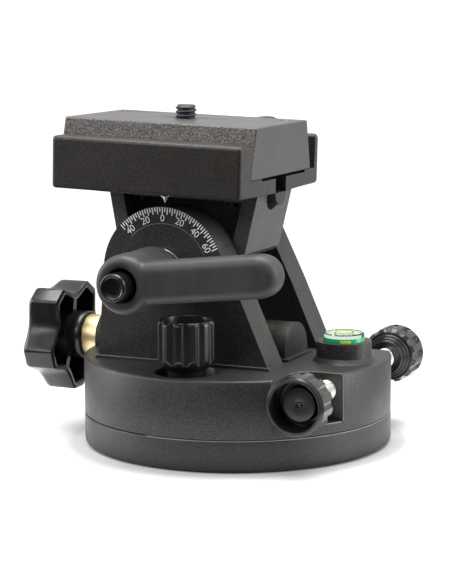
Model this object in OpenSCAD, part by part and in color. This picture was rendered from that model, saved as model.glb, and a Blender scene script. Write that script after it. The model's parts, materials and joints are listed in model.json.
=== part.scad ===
// Latitude base with azimuth and altitude adjustment, for a star tracker.
// Origin: centre of the tripod thread on the underside. +Z up, X along the dovetail.

/* [Base and turret] */
// Radius of the base disc and the turret
body_r = 45.5; // [40:0.5:55]
// Height of the base disc
base_h = 9.2; // [8:0.1:12]
// Height of the turret's deck above the table
deck_z = 26; // [24:0.5:32]
// Radius of the brass pivot bush in the middle
pivot_r = 10; // [9:0.5:12]

/* [Altitude axis] */
// Position of the altitude axis along X
axis_x = -12.5; // [-16:0.5:-8]
// Height of the altitude axis
axis_z = 52; // [48:0.5:60]
// Radius of the arms' round heads
head_r = 19.2; // [17:0.1:22]
// Inner face of each arm from the middle plane
arm_in = 13.4; // [12:0.1:15]
// Outer face of each arm from the middle plane
arm_out = 24; // [22:0.5:28]
// Head's tilt as stored, the right end down
rest_tilt = 1.8; // [0:0.1:5]

/* [Head] */
// Top width of the dovetail plate
plate_top_w = 36.8; // [34:0.2:38]
// Bottom width of the dovetail plate
plate_base_w = 44; // [43:0.5:45]
// Height of the dovetail plate
plate_h = 14.8; // [12:0.2:16]
// Length of the dovetail plate
plate_len = 61.7; // [50:0.1:90]
// Half the width of the saddle
saddle_w = 28.6; // [26:0.1:32]
// Radius of the camera screw, a quarter inch
camera_r = 3.175; // [3.1:0.005:4.8]

/* [Drives] */
// Height of the worm's axis
worm_z = 27.7; // [27:0.1:30]
// Distance of the azimuth screws from the pivot
az_x = 35.5; // [34:0.1:38]
// Height of the azimuth screws
az_z = 20.9; // [18:0.1:22]
// Radius of the fluted azimuth knobs
az_knob_r = 8.4; // [7:0.1:10]
// Radius of the star knob over its lobes
star_r = 16.6; // [14:0.1:20]
// Angle of the clamp lever above the horizontal
lever_up = 5.5; // [0:0.5:20]
// Distance from the lever's axis to its tip
lever_len = 46.2; // [40:0.1:60]

/* [Azimuth lock and level] */
// Distance of the lock knob from the pivot
lock_y = 34; // [32:0.5:36]
// Radius of the lock knob
lock_r = 8.2; // [7:0.1:10]
// Distance of the level from the pivot
level_x = 33.9; // [32:0.1:36]

/* [Hidden] */
$fn = 72;
turret_z = base_h + 0.1;
black = [0.13, 0.13, 0.135];
steel = [0.72, 0.72, 0.73];
brass = [0.80, 0.62, 0.30];
sad_z0 = 22.9;            // saddle's underside, from the altitude axis
floor_z = 27.2;           // saddle's relieved floor
plate_z = 27.9;           // dovetail plate's underside
jaw_z = 38;               // top of the jaws
sad_x0 = -34.4;
sad_x1 = 25.8;
plate_x0 = -35.7;
stud_x = -5.2;
clamp_x = 2.4;
clamp_z = 31.2;
screw_r = 11.9;           // pitch circle of the pivot bush's screws
wheel_teeth = 37;
star_turn = -37.9;        // angle of the star knob's first lobe
knob_turn = 18.3;         // angle of the azimuth knobs' first lobe
lock_phase = 9.3;         // angle of the lock knob's first lobe
lock_x = -0.3;
az_turn = 1.74;           // azimuth screws' line, turned from Y as the azimuth stands
az_shift = -0.75;         // azimuth peg's offset along that line
flank = (plate_base_w - plate_top_w) / 2 / plate_h;

// helpers ------------------------------------------------------------------

// stands a part on the altitude axis, in the head's own tilted frame
module head() translate([axis_x, 0, axis_z]) rotate([0, rest_tilt, 0]) children();
// cylinder along +Y from y0 to y1
module ycyl(r, y0, y1) translate([0, y0, 0]) rotate([-90, 0, 0]) cylinder(r = r, h = y1 - y0);
// cylinder along +X from x0 to x1
module xcyl(r, x0, x1) translate([x0, 0, 0]) rotate([0, 90, 0]) cylinder(r = r, h = x1 - x0);
module ring(ro, ri, z0, z1) difference() {
  translate([0, 0, z0]) cylinder(r = ro, h = z1 - z0);
  translate([0, 0, z0 - 1]) cylinder(r = ri, h = z1 - z0 + 2);
}
// outline in X and Z, given thickness from y0 to y1
module xz(points, y0, y1)
  translate([0, y1, 0]) rotate([90, 0, 0]) linear_extrude(y1 - y0) polygon(points);
// fluted rim: n lobes of radius r, with round flutes d deep between them
function fluted(r, n, d) = [for (i = [0 : n * 8 - 1])
  let (a = i * 45 / n, k = abs((i % 8) - 4) / 4, q = r - d * max(0, 1 - 3 * k * k)) [q * cos(a), q * sin(a)]];
// star outline: five flat lobes of half-angle w, hollows d deep between them
function star(r, w, d) = [for (l = [0 : 4], i = [0 : 7])
  let (a = 72 * l + (i == 0 ? -w : w + (72 - 2 * w) * (i - 1) / 7),
       q = i == 0 ? r : r * cos(36 - w) / cos(a - 72 * l - 36) - d * sin((i - 1) * 180 / 7))
  [q * cos(a), q * sin(a)]];

// base ---------------------------------------------------------------------

module base_plate() color(black) difference() {
  rotate_extrude($fn = 120) polygon([[0, 0], [body_r - 1.6, 0], [body_r - 0.6, 0.4],
    [body_r - 0.12, 1.1], [body_r, 1.9], [body_r, base_h - 0.3], [body_r - 0.3, base_h], [0, base_h]]);
  translate([0, 0, -1]) cylinder(r = pivot_r + 0.02, h = 20);
  translate([0, 0, -1]) cylinder(r = 15.02, h = 4);
  difference() {
    ring(30.5, 20, -1, 4.5);
    for (a = [0 : 60 : 300]) rotate(a + 30) translate([18, -2, -2]) cube([24, 4, 8]);
  }
  ring(27.05, 17.95, base_h - 1.2, base_h + 1);
  rotate(az_turn) translate([az_x, az_shift, 3]) cylinder(r = 4.02, h = 10);
  for (a = [0, 120, 240]) rotate(a) translate([screw_r, 0, 2]) cylinder(r = 1.27, h = 6);
}
module pivot_bush() color(brass) difference() {
  union() {
    cylinder(r = 15, h = 3);
    cylinder(r = pivot_r, h = 15);
    cylinder(r = pivot_r - 1, h = 19.2);
  }
  translate([0, 0, -1]) cylinder(r = 4.0, h = 14);
  for (a = [0, 120, 240]) rotate(a) translate([screw_r, 0, -1]) {
    cylinder(r = 1.6, h = 6);
    cylinder(r = 2.9, h = 2.6);
  }
}
module bush_screws() color(steel) for (a = [0, 120, 240]) rotate(a) translate([screw_r, 0, 0]) difference() {
  union() {
    translate([0, 0, 0.2]) cylinder(r = 2.7, h = 1.4);
    translate([0, 0, 1.6]) cylinder(r = 1.25, h = 6);
  }
  translate([0, 0, -1]) cylinder(r = 1.2, h = 2, $fn = 6);
}
module azimuth_peg() color(steel) rotate(az_turn) translate([az_x, az_shift, 0]) {
  translate([0, 0, 3]) cylinder(r = 4, h = 19.6);
  translate([0, 0, 22.6]) cylinder(r1 = 4, r2 = 3.4, h = 0.6);
}
module friction_ring() color([0.86, 0.86, 0.82]) ring(27, 18, base_h - 1.2, turret_z - 0.02);

// turret -------------------------------------------------------------------

// recess beside an azimuth screw, its inner side w further in
module pocket(w) {
  translate([34.3 - w, -26, 12.4]) cylinder(r = 6.5, h = 20);
  translate([0, 0, 12.4]) linear_extrude(20) polygon([[27.8 - w, -26], [26.4 - w, -41], [30 - w, -52],
    [41.2, -52], [41.2, -19.5], [34.3 - w, -19.5]]);
}
module turret() color(black) difference() {
  union() {
    difference() {
      rotate_extrude($fn = 120) polygon([[0, turret_z], [body_r - 0.3, turret_z], [body_r, turret_z + 0.3],
        [body_r, deck_z - 0.9], [body_r - 0.3, deck_z - 0.3], [body_r - 0.9, deck_z], [0, deck_z]]);
      translate([-26, -arm_in, 15]) cube([39.6, 2 * arm_in, 20]);
      pocket(0);
      mirror([0, 1, 0]) pocket(2.2);
      translate([lock_x, -lock_y, deck_z - 3]) cylinder(r = 9.1, h = 5);
    }
    translate([0, 0, worm_z]) xcyl(8.4, -43.5, -25);
    translate([0, 0, worm_z]) xcyl(8.4, 9, 18.9);
    translate([-43.5, -8.4, deck_z - 2]) cube([18, 16.8, worm_z - deck_z + 2]);
    translate([13, -8.4, deck_z - 2]) cube([5.9, 16.8, worm_z - deck_z + 2]);
    // foot of the worm's bearing
    translate([13, -10, deck_z - 1]) cube([7.6, 20, 1.7]);
    translate([level_x, 0, deck_z - 1]) {
      cylinder(r = 8, h = 6.8);
      translate([0, 0, 0.9]) cylinder(r1 = 9.3, r2 = 8, h = 1.5);
    }
  }
  // pivot bore
  translate([0, 0, 5]) cylinder(r = pivot_r + 0.06, h = 11);
  // cavity round the azimuth peg
  intersection() {
    translate([29.6, -12, turret_z - 1]) cube([14, 24, 24.6 - turret_z]);
    cylinder(r = 41.8, h = 40);
  }
  azimuth_line() ycyl(3.06, -30, 30);
  // azimuth lock
  translate([lock_x, -lock_y, 5]) cylinder(r = 3.06, h = 30);
  translate([lock_x, -lock_y, 5]) cylinder(r = 4.9, h = 8.8);
  // level seat
  translate([level_x, 0, 28.2]) cylinder(r = 6.02, h = 8);
  // worm bores
  translate([0, 0, worm_z]) xcyl(6.6, -60, -43.5);
  translate([0, 0, worm_z]) xcyl(6.02, -60, -36);
  translate([0, 0, worm_z]) xcyl(4.3, -60, -20);
  translate([0, 0, worm_z]) xcyl(4.52, 0, 16.2);
}
// arm with its outline tangent to the round head on both sides, and a raised foot line on the deck
module arm() difference() {
  union() {
    xz([[-33.78, deck_z], [20.44, deck_z], [11.9, 45.5], [5.1, 59.7], [axis_x, axis_z + 12], [-31.66, 53.3]],
      arm_in, arm_out);
    translate([axis_x, 0, axis_z]) ycyl(head_r, arm_in, arm_out);
    xz([[-34.6, deck_z], [21.3, deck_z], [20.6, deck_z + 0.9], [-34.1, deck_z + 0.9]], arm_out - 0.1, arm_out + 0.8);
  }
  translate([axis_x, 0, axis_z]) ycyl(4.04, 0, 40);
}
module arm_near() color(black) difference() {
  mirror([0, 1, 0]) arm();
  // recess of the dial scale
  translate([axis_x, 0, axis_z]) dial(14.2, head_r + 1, -arm_out - 1, -arm_out + 0.4);
}
module arm_far() color(black) arm();
// sector of the dial, clockwise from -45 to 65 degrees
module dial(ri, ro, y0, y1) difference() {
  ycyl(ro, y0, y1);
  ycyl(ri, y0 - 1, y1 + 1);
  xz([[0, 0], [-90 * sin(45.8), 90 * cos(45.8)], [-90, -90], [90, -90], [90 * sin(65.8), 90 * cos(65.8)]],
    y0 - 1, y1 + 1);
}
module dial_scale() color([0.2, 0.2, 0.2]) translate([axis_x, 0, axis_z])
  intersection() {
    dial(14.25, head_r - 0.02, -arm_out + 0.1, -arm_out + 0.4);
    xz([[0, 0], [-40 * sin(45.6), 40 * cos(45.6)], [0, 60], [40 * sin(65.6), 40 * cos(65.6)]], -arm_out, -arm_out + 1);
  }
module pivot_washer() color(steel) ring(13, pivot_r - 0.95, 15.02, 15.8);
module lock_ring() color(steel) difference() {
  ring(12.6, pivot_r - 0.98, 15.82, 19.1);
  for (a = [45 : 90 : 315]) rotate(a) translate([11, -1.6, 14]) cube([4, 3.2, 8]);
}

// azimuth adjusters --------------------------------------------------------

module azimuth_line() rotate(az_turn) translate([az_x, az_shift, az_z]) children();
module azimuth_pad() color(brass) {
  ycyl(2.5, -6.2, -4.05);
  ycyl(1.2, -7.6, -6.1);
}
module azimuth_screw() color(steel) difference() {
  ycyl(3, -40.25, -6.25);
  ycyl(1.24, -8, -5);
}
module azimuth_knob() color(black) difference() {
  union() {
    translate([0, -35.95, 0]) rotate([90, 0, 0]) linear_extrude(9.3) rotate(knob_turn) polygon(fluted(az_knob_r, 12, 0.8));
    ycyl(6.6, -36.05, -34.45);
    ycyl(5.2, -34.55, -32.45);
  }
  difference() {
    ycyl(7.0, -47, -37.75);
    ycyl(4.9, -41.25, -37.25);
  }
  ycyl(3, -40.25, -30);
}
module azimuth_pad_front() azimuth_line() azimuth_pad();
module azimuth_screw_front() azimuth_line() azimuth_screw();
module azimuth_knob_front() azimuth_line() azimuth_knob();
module azimuth_pad_rear() azimuth_line() mirror([0, 1, 0]) azimuth_pad();
module azimuth_screw_rear() azimuth_line() mirror([0, 1, 0]) azimuth_screw();
module azimuth_knob_rear() azimuth_line() mirror([0, 1, 0]) azimuth_knob();

// azimuth lock -------------------------------------------------------------

module lock_pad() color(brass) translate([lock_x, -lock_y, 0]) {
  translate([0, 0, base_h + 0.05]) cylinder(r = 4.6, h = 2.6);
  translate([0, 0, base_h + 2.5]) cylinder(r = 1.5, h = 1.4);
}
module lock_stud() color(steel) translate([lock_x, -lock_y, 0]) difference() {
  translate([0, 0, base_h + 2.7]) cylinder(r = 3, h = 24);
  translate([0, 0, base_h + 2]) cylinder(r = 1.54, h = 2.2);
}
module lock_knob() color(black) translate([lock_x, -lock_y, 0]) difference() {
  union() {
    translate([0, 0, 29.4]) linear_extrude(11.6) rotate(lock_phase) polygon(fluted(lock_r, 12, 0.7));
    translate([0, 0, 27.2]) cylinder(r1 = 5.9, r2 = 7.45, h = 2.3);
    translate([0, 0, 23.6]) cylinder(r = 5.4, h = 3.7);
  }
  difference() {
    translate([0, 0, 36.5]) cylinder(r = 6.8, h = 8);
    translate([0, 0, 36]) cylinder(r = 4.4, h = 2.6);
  }
  translate([0, 0, 20]) cylinder(r = 3, h = 15.9);
}

// bull's-eye level ---------------------------------------------------------

module level_cup() color([0.1, 0.62, 0.3]) translate([level_x, 0, 0]) difference() {
  translate([0, 0, 28.2]) cylinder(r = 5.95, h = 4.8);
  translate([0, 0, 29]) cylinder(r = 5.1, h = 8);
}
module level_fluid() color([0.75, 0.95, 0.2, 0.7]) translate([level_x, 0, 0]) difference() {
  translate([0, 0, 29.02]) cylinder(r = 5.06, h = 3.9);
  translate([0, 0, 32.1]) cylinder(r = 2, h = 1);
}
module level_bubble() color([0.9, 1, 0.8, 0.5]) translate([level_x, 0, 32.15]) cylinder(r = 1.95, h = 0.75);
module level_lens() color([0.9, 0.95, 0.95, 0.4]) translate([level_x, 0, 0]) difference() {
  union() {
    translate([0, 0, 33.02]) cylinder(r = 5.9, h = 0.9);
    translate([0, 0, 33.92]) cylinder(r1 = 5.9, r2 = 5.5, h = 0.3);
  }
  translate([0, 0, 34.05]) ring(3.1, 2.7, 0, 1);
}

// worm drive ---------------------------------------------------------------

module worm_shaft() color(steel) translate([0, 0, worm_z]) {
  xcyl(3, -63.4, -49.5);
  xcyl(3.4, -49.6, -35.8);
  xcyl(4.2, -35.9, -24.6);
  xcyl(6.2, -24.7, -23.2);
  xcyl(4.6, -23.3, -1.7);
  xcyl(6.2, -1.8, -0.3);
  xcyl(3, -0.4, 16);
}
module worm_collar() color(brass) translate([0, 0, worm_z]) difference() {
  union() {
    xcyl(6.5, -49.4, -43.54);
    xcyl(6, -43.6, -36.1);
  }
  xcyl(3.44, -60, -30);
}
module worm_end_bush() color(brass) translate([0, 0, worm_z]) difference() {
  xcyl(4.5, 8.6, 16.1);
  xcyl(3.04, 5, 20);
}
module thrust_washer() color(steel) translate([0, 0, worm_z]) difference() {
  xcyl(5.6, 7.2, 8.4);
  xcyl(3.05, 5, 20);
}
module star_knob() color(black) translate([-54, 0, worm_z]) rotate([0, -90, 0]) {
  difference() {
    linear_extrude(10.3) rotate(star_turn) polygon(star(star_r, 10.2, 2));
    translate([0, 0, -1]) linear_extrude(9) rotate(star_turn) polygon(star(star_r - 1.7, 8.8, 2.4));
    translate([0, 0, -1]) cylinder(r = 3, h = 10.4);
  }
  difference() {
    union() {
      translate([0, 0, -4.4]) cylinder(r = 7.3, h = 2.6);
      translate([0, 0, -2]) cylinder(r1 = 6.9, r2 = 9.2, h = 10.2);
      for (a = [36 : 72 : 324]) rotate(a + star_turn) translate([7, -0.8, 0.6]) cube([3.8, 1.6, 8]);
    }
    translate([0, 0, -5]) cylinder(r = 3, h = 14.4);
    translate([0, 0, -5]) cylinder(r = 6.6, h = 0.9);
  }
}
module star_cap() color(black) translate([0, 0, worm_z]) xcyl(5, -65.1, -64.32);

// altitude axle ------------------------------------------------------------

module tilt_axle() color(steel) translate([axis_x, 0, axis_z]) ycyl(4, -38.5, 31.5);
module axle_washer() color(steel) translate([axis_x, 0, axis_z]) difference() {
  ycyl(8, arm_out + 0.02, 25.6);
  ycyl(4.02, 20, 30);
}
module axle_nut() color(steel) translate([axis_x, 0, axis_z]) difference() {
  translate([0, 25.62, 0]) rotate([-90, 0, 0]) cylinder(r = 7.5, h = 5, $fn = 6);
  ycyl(4.0, 20, 40);
}
module bush_near() color([0.86, 0.86, 0.82]) mirror([0, 1, 0]) bush_far();
module bush_far() color([0.86, 0.86, 0.82]) translate([axis_x, 0, axis_z]) difference() {
  ycyl(8.4, 12.6, arm_in - 0.02);
  ycyl(4.06, 10, 15);
}

// head: yoke, saddle and wheel ---------------------------------------------

module yoke() color(black) head() difference() {
  union() {
    for (s = [-1, 1]) scale([s, 1, 1])
      xz([[24.07, sad_z0], [20.4, 5.6], [18.9, 4.2], [16.6, 4.6], [15.8, 6.2], [18.9, 19.4], [18.9, sad_z0]], -12.5, 12.5);
    translate([-19.5, -11.4, 20.3]) cube([39, 22.8, sad_z0 - 20.3]);
    xz([[-17, 6], [-9, 0], [9, 0], [17, 6], [19.4, 20.6], [-19.4, 20.6]], -3.9, 3.9);
    ycyl(8.4, -12.55, 12.55);
    ycyl(14, 4.06, 7.6);
  }
  ycyl(4.04, -20, 20);
  translate([0, 0, sad_z0 + 0.02]) xcyl(5.3, -40, 40);
  for (x = [-14, 14], y = [-8.6, 8.6]) translate([x, y, 18.9]) cylinder(r = 2.1, h = 8);
  for (a = [-50, 0, 50]) rotate([0, a, 0]) translate([0, 0, -11.3]) ycyl(1.52, 2, 10);
  difference() {
    rotate([0, 180, 0]) sector(80, 60, 4.02);
    ycyl(8.4, -5, 5);
  }
}
// wedge about -Y to +Y, half-angle a each side of +Z
module sector(a, r, w) xz([[0, 0], [-r * sin(a), r * cos(a)], [-r, r * 1.2], [r, r * 1.2], [r * sin(a), r * cos(a)]], -w, w);

module worm_wheel() color(brass) head() difference() {
  intersection() {
    ycyl(19.5, -3.9, 3.9);
    rotate([0, 180, 0]) sector(78, 60, 4);
  }
  ycyl(8.5, -5, 5);
  // gaps between the teeth
  for (i = [-7 : 7]) rotate([0, i * 360 / wheel_teeth, 0])
    xz([[-0.45, -17.2], [0.45, -17.2], [1.15, -19.7], [-1.15, -19.7]], -4.5, 4.5);
  for (a = [-50, 0, 50]) rotate([0, a, 0]) translate([0, 0, -11.3]) ycyl(1.52, -10, 10);
}
module wheel_screws() color(steel) head()
  for (a = [-50, 0, 50]) rotate([0, a, 0]) translate([0, 0, -11.3]) {
    ycyl(1.5, -3.95, 7.5);
    ycyl(2.7, -5.9, -3.92);
  }

module saddle() color(black) head() difference() {
  union() {
    translate([sad_x0, -saddle_w, sad_z0]) cube([sad_x1 - sad_x0, 2 * saddle_w, jaw_z - sad_z0]);
    intersection() {
      translate([0, 0, sad_z0]) xcyl(3.8, sad_x0, sad_x1);
      translate([-50, -5, sad_z0 - 5]) cube([100, 10, 6]);
    }
  }
  // bed between the jaws
  rotate([90, 0, 90]) translate([0, 0, -50]) linear_extrude(100) polygon([
    [-22.05, plate_z], [-13.8, plate_z], [-13.8, floor_z], [17.8, floor_z], [17.8, plate_z], [25.4, plate_z],
    [25.4, jaw_z + 1], [-22.05 + flank * (jaw_z + 1 - plate_z), jaw_z + 1]]);
  // groove along the middle
  translate([-50, -3.75, sad_z0]) cube([100, 7.5, 8]);
  for (x = [-14, 14], y = [-8.6, 8.6]) translate([x, y, 0]) {
    translate([0, 0, 20]) cylinder(r = 2.6, h = 12);
    translate([0, 0, 24.2]) cylinder(r = 4.4, h = 12);
  }
  translate([clamp_x, 0, clamp_z]) ycyl(3.06, 20, 40);
  translate([0, -23.2, sad_z0 - 1]) cylinder(r = 1.42, h = 4.2);
}
module saddle_screws() color(steel) head() for (x = [-14, 14], y = [-8.6, 8.6]) translate([x, y, 0]) difference() {
  union() {
    translate([0, 0, 24.22]) cylinder(r = 4.2, h = 2.7);
    translate([0, 0, 19]) cylinder(r = 2.05, h = 5.3);
  }
  translate([0, 0, 25.4]) cylinder(r = 2.3, h = 3, $fn = 6);
}
module index_pin() color(steel) head() translate([0, -23.2, 0]) {
  translate([0, 0, 22.2]) cylinder(r = 1.4, h = 3.6);
  translate([0, 0, 20.3]) cylinder(r1 = 0.15, r2 = 1.1, h = 1.9);
}

// dovetail clamp -----------------------------------------------------------

module clamp_shoe() color([0.6, 0.6, 0.6]) head()
  translate([clamp_x - 18, 0, 0]) rotate([90, 0, 90]) linear_extrude(36) polygon([
    [22.06 - flank * 0.3, plate_z + 0.3], [23.8, plate_z + 0.3], [23.8, 37],
    [22.06 - flank * (37 - plate_z), 37]]);
module clamp_screw() color(steel) head() translate([clamp_x, 0, clamp_z]) {
  ycyl(3, 23.85, 41);
}
module clamp_knob() color(black) head() translate([clamp_x, 0, clamp_z]) difference() {
  union() {
    translate([0, 43.5, 0]) rotate([90, 0, 0]) linear_extrude(10.5) polygon(fluted(10, 12, 0.9));
    ycyl(6.5, 30.4, 33.1);
  }
  ycyl(3, 20, 41);
  difference() {
    ycyl(8, 40.5, 50);
    ycyl(5, 40, 42);
  }
}

// clamp lever --------------------------------------------------------------

module lever_frame() translate([axis_x, 0, axis_z]) rotate([0, -lever_up, 0]) children();
module lever_insert() color(steel) lever_frame() difference() {
  union() {
    ycyl(7.5, -26, -arm_out - 0.04);
    ycyl(5.6, -40, -25.9);
  }
  ycyl(4.04, -60, 0);
}
module clamp_lever() color([0.2, 0.2, 0.2]) lever_frame() difference() {
  union() {
    rotate([90, 0, 0]) rotate_extrude() polygon([[0, 26.1], [6.7, 26.1], [7.3, 26.8], [8.2, 28.4], [8.6, 30.5],
      [8.3, 40.5], [8.5, 42], [8.5, 48.2], [7.9, 49.7], [6.8, 50.4], [0, 50.4]]);
    xz([[4, 6.0], [lever_len - 6, 6.34], [lever_len - 6, -5.54], [4, -6.0]], -49.6, -40.4);
    translate([lever_len - 5.95, 0, 0.4]) ycyl(5.95, -49.6, -40.4);
  }
  ycyl(5.62, -40.05, 0);
  ycyl(4.7, -60, -42.2);
  ycyl(3.2, -60, -30);
}
module lever_spring() color(steel) lever_frame() difference() {
  ycyl(4.3, -44.4, -42.25);
  ycyl(3.4, -60, 0);
}
module lever_button() color([0.08, 0.08, 0.08]) lever_frame() {
  ycyl(4.64, -46.4, -44.45);
  ycyl(4, -54.6, -46.3);
  translate([0, -54.6, 0]) rotate([90, 0, 0]) cylinder(r1 = 4, r2 = 3.5, h = 0.5);
}

// dovetail plate -----------------------------------------------------------

module dovetail_plate() color(black) head() difference() {
  translate([plate_x0, 0, plate_z]) rotate([90, 0, 90]) linear_extrude(plate_len) polygon([
    [-plate_base_w / 2, 0.02], [plate_base_w / 2, 0.02], [plate_top_w / 2, plate_h], [-plate_top_w / 2, plate_h]]);
  // hole for the camera screw, wider below
  translate([stud_x, 0, 20]) {
    cylinder(r = 3.3, h = 30);
    cylinder(r = 7.3, h = 15.4);
  }
  for (x = [plate_x0 + 4.5, plate_x0 + plate_len - 4.5]) translate([x, 12, 35]) cylinder(r = 1.6, h = 10);
}
module stop_pins() color(steel) head()
  for (x = [plate_x0 + 4.5, plate_x0 + plate_len - 4.5]) translate([x, 12, 36]) cylinder(r = 1.58, h = plate_z + plate_h - 36.3);
module camera_washer() color([0.86, 0.86, 0.82]) head() translate([stud_x, 0, 0]) ring(7.1, camera_r - 0.22, 34.3, 35.36);
module camera_screw() color(steel) head() translate([stud_x, 0, 0]) difference() {
  union() {
    translate([0, 0, 29.6]) cylinder(r = 6.8, h = 4.66);
    translate([0, 0, 34.2]) cylinder(r = camera_r - 0.3, h = 8.7);
    translate([0, 0, 42.85]) cylinder(r = camera_r, h = 3.25);
    translate([0, 0, 46.1]) cylinder(r1 = camera_r, r2 = camera_r - 0.6, h = 0.6);
  }
  translate([-8, -0.8, 29]) cube([16, 1.6, 2.2]);
}

// --------------------------------------------------------------------------

base_plate();
pivot_bush();
bush_screws();
azimuth_peg();
friction_ring();
turret();
arm_near();
arm_far();
dial_scale();
pivot_washer();
lock_ring();
azimuth_pad_front();
azimuth_screw_front();
azimuth_knob_front();
azimuth_pad_rear();
azimuth_screw_rear();
azimuth_knob_rear();
lock_pad();
lock_stud();
lock_knob();
level_cup();
level_fluid();
level_bubble();
level_lens();
worm_shaft();
worm_collar();
worm_end_bush();
thrust_washer();
star_knob();
star_cap();
tilt_axle();
axle_washer();
axle_nut();
bush_near();
bush_far();
yoke();
worm_wheel();
wheel_screws();
saddle();
saddle_screws();
index_pin();
clamp_shoe();
clamp_screw();
clamp_knob();
lever_insert();
clamp_lever();
lever_spring();
lever_button();
dovetail_plate();
stop_pins();
camera_washer();
camera_screw();
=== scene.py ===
"""Latitude base for a star tracker: materials, fine pieces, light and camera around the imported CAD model.

Lengths in this script are in millimetres until MM turns them into the frame's metres.
"""

import json
import math

import bpy
from mathutils import Matrix, Vector


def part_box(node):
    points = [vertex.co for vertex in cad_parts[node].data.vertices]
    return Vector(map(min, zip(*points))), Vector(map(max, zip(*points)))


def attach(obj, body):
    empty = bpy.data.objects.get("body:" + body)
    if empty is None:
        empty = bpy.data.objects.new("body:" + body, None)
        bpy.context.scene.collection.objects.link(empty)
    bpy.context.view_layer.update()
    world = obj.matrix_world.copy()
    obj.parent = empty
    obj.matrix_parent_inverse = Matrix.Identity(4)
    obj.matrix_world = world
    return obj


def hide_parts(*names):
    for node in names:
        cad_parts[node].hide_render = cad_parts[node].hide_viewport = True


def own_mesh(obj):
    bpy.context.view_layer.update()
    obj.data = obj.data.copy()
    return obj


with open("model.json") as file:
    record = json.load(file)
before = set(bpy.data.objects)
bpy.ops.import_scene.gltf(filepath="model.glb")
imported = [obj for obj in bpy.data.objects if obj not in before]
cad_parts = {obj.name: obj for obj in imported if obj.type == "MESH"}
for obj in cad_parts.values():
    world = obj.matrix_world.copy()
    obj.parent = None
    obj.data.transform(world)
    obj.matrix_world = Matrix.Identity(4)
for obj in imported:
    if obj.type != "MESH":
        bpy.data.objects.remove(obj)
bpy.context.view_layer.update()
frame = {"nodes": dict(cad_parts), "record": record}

MM = 0.001
REST_TILT = math.radians(1.8)     # the head's tilt as stored, which the dial shows
LEVER_UP = math.radians(5.5)      # the clamp lever's angle above the horizontal
STAR_TURN = math.radians(-37.9)   # angle of the star knob's first lobe from +Z towards +Y


def middle(node):
    """The middle of a node's box, in metres; low and high give its corners in millimetres."""
    lower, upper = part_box(node)
    return (lower + upper) / 2


def low(node):
    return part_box(node)[0] / MM


def high(node):
    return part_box(node)[1] / MM


AXLE = middle("tilt_axle") / MM
ALTITUDE = Vector((AXLE.x, 0, AXLE.z))
WORM = Vector((0, 0, (middle("worm_collar") / MM).z))
LOCK = middle("lock_stud") / MM
LEVEL = middle("level_cup") / MM


# materials ----------------------------------------------------------------------------------------


class Paint:
    """A principled material and short calls for the nodes behind it."""

    def __init__(self, name, colour, rough, metal=0.0, **inputs):
        self.material = bpy.data.materials.new(name)
        self.material.use_nodes = True
        self.material.diffuse_color = (*colour, 1)
        self.nodes = self.material.node_tree.nodes
        self.links = self.material.node_tree.links
        self.shader = next(n for n in self.nodes if n.type == "BSDF_PRINCIPLED")
        self.place = self.nodes.new("ShaderNodeTexCoord").outputs["Object"]
        self.set("Base Color", (*colour, 1))
        self.set("Roughness", rough)
        self.set("Metallic", metal)
        for key, value in inputs.items():
            self.set(key.replace("_", " "), value)

    def set(self, socket, value):
        self.shader.inputs[socket].default_value = value

    def noise(self, size, detail=2.0, stretch=(1, 1, 1)):
        """Noise whose grains are about size millimetres wide, stretched along an axis."""
        mapping = self.nodes.new("ShaderNodeMapping")
        mapping.inputs["Scale"].default_value = stretch
        noise = self.nodes.new("ShaderNodeTexNoise")
        noise.inputs["Scale"].default_value = 1 / (size * MM)
        noise.inputs["Detail"].default_value = detail
        self.links.new(self.place, mapping.inputs["Vector"])
        self.links.new(mapping.outputs["Vector"], noise.inputs["Vector"])
        return noise.outputs["Fac"]

    def cells(self, size):
        """Rounded cells about size millimetres wide, as powder paint flows out to."""
        voronoi = self.nodes.new("ShaderNodeTexVoronoi")
        voronoi.feature = "SMOOTH_F1"
        voronoi.inputs["Scale"].default_value = 1 / (size * MM)
        self.links.new(self.place, voronoi.inputs["Vector"])
        return voronoi.outputs["Distance"]

    def spread(self, value, low_end, high_end, at_low, at_high):
        """Maps value from low_end..high_end to at_low..at_high."""
        node = self.nodes.new("ShaderNodeMapRange")
        for socket, number in zip(("From Min", "From Max", "To Min", "To Max"),
                                  (low_end, high_end, at_low, at_high)):
            node.inputs[socket].default_value = number
        self.links.new(value, node.inputs["Value"])
        return node.outputs["Result"]

    def mix(self, factor, first, second):
        node = self.nodes.new("ShaderNodeMix")
        node.data_type = "RGBA"
        node.inputs["A"].default_value = (*first, 1)
        node.inputs["B"].default_value = (*second, 1)
        self.links.new(factor, node.inputs["Factor"])
        return node.outputs["Result"]

    def colour(self, value):
        self.links.new(value, self.shader.inputs["Base Color"])

    def rough(self, value):
        self.links.new(value, self.shader.inputs["Roughness"])

    def bump(self, value, height, strength=1.0):
        """Adds a bump of height millimetres on top of what is there."""
        node = self.nodes.new("ShaderNodeBump")
        node.inputs["Distance"].default_value = height * MM
        node.inputs["Strength"].default_value = strength
        self.links.new(value, node.inputs["Height"])
        normal = self.shader.inputs["Normal"]
        if normal.is_linked:
            self.links.new(normal.links[0].from_socket, node.inputs["Normal"])
        self.links.new(node.outputs["Normal"], normal)


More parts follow.
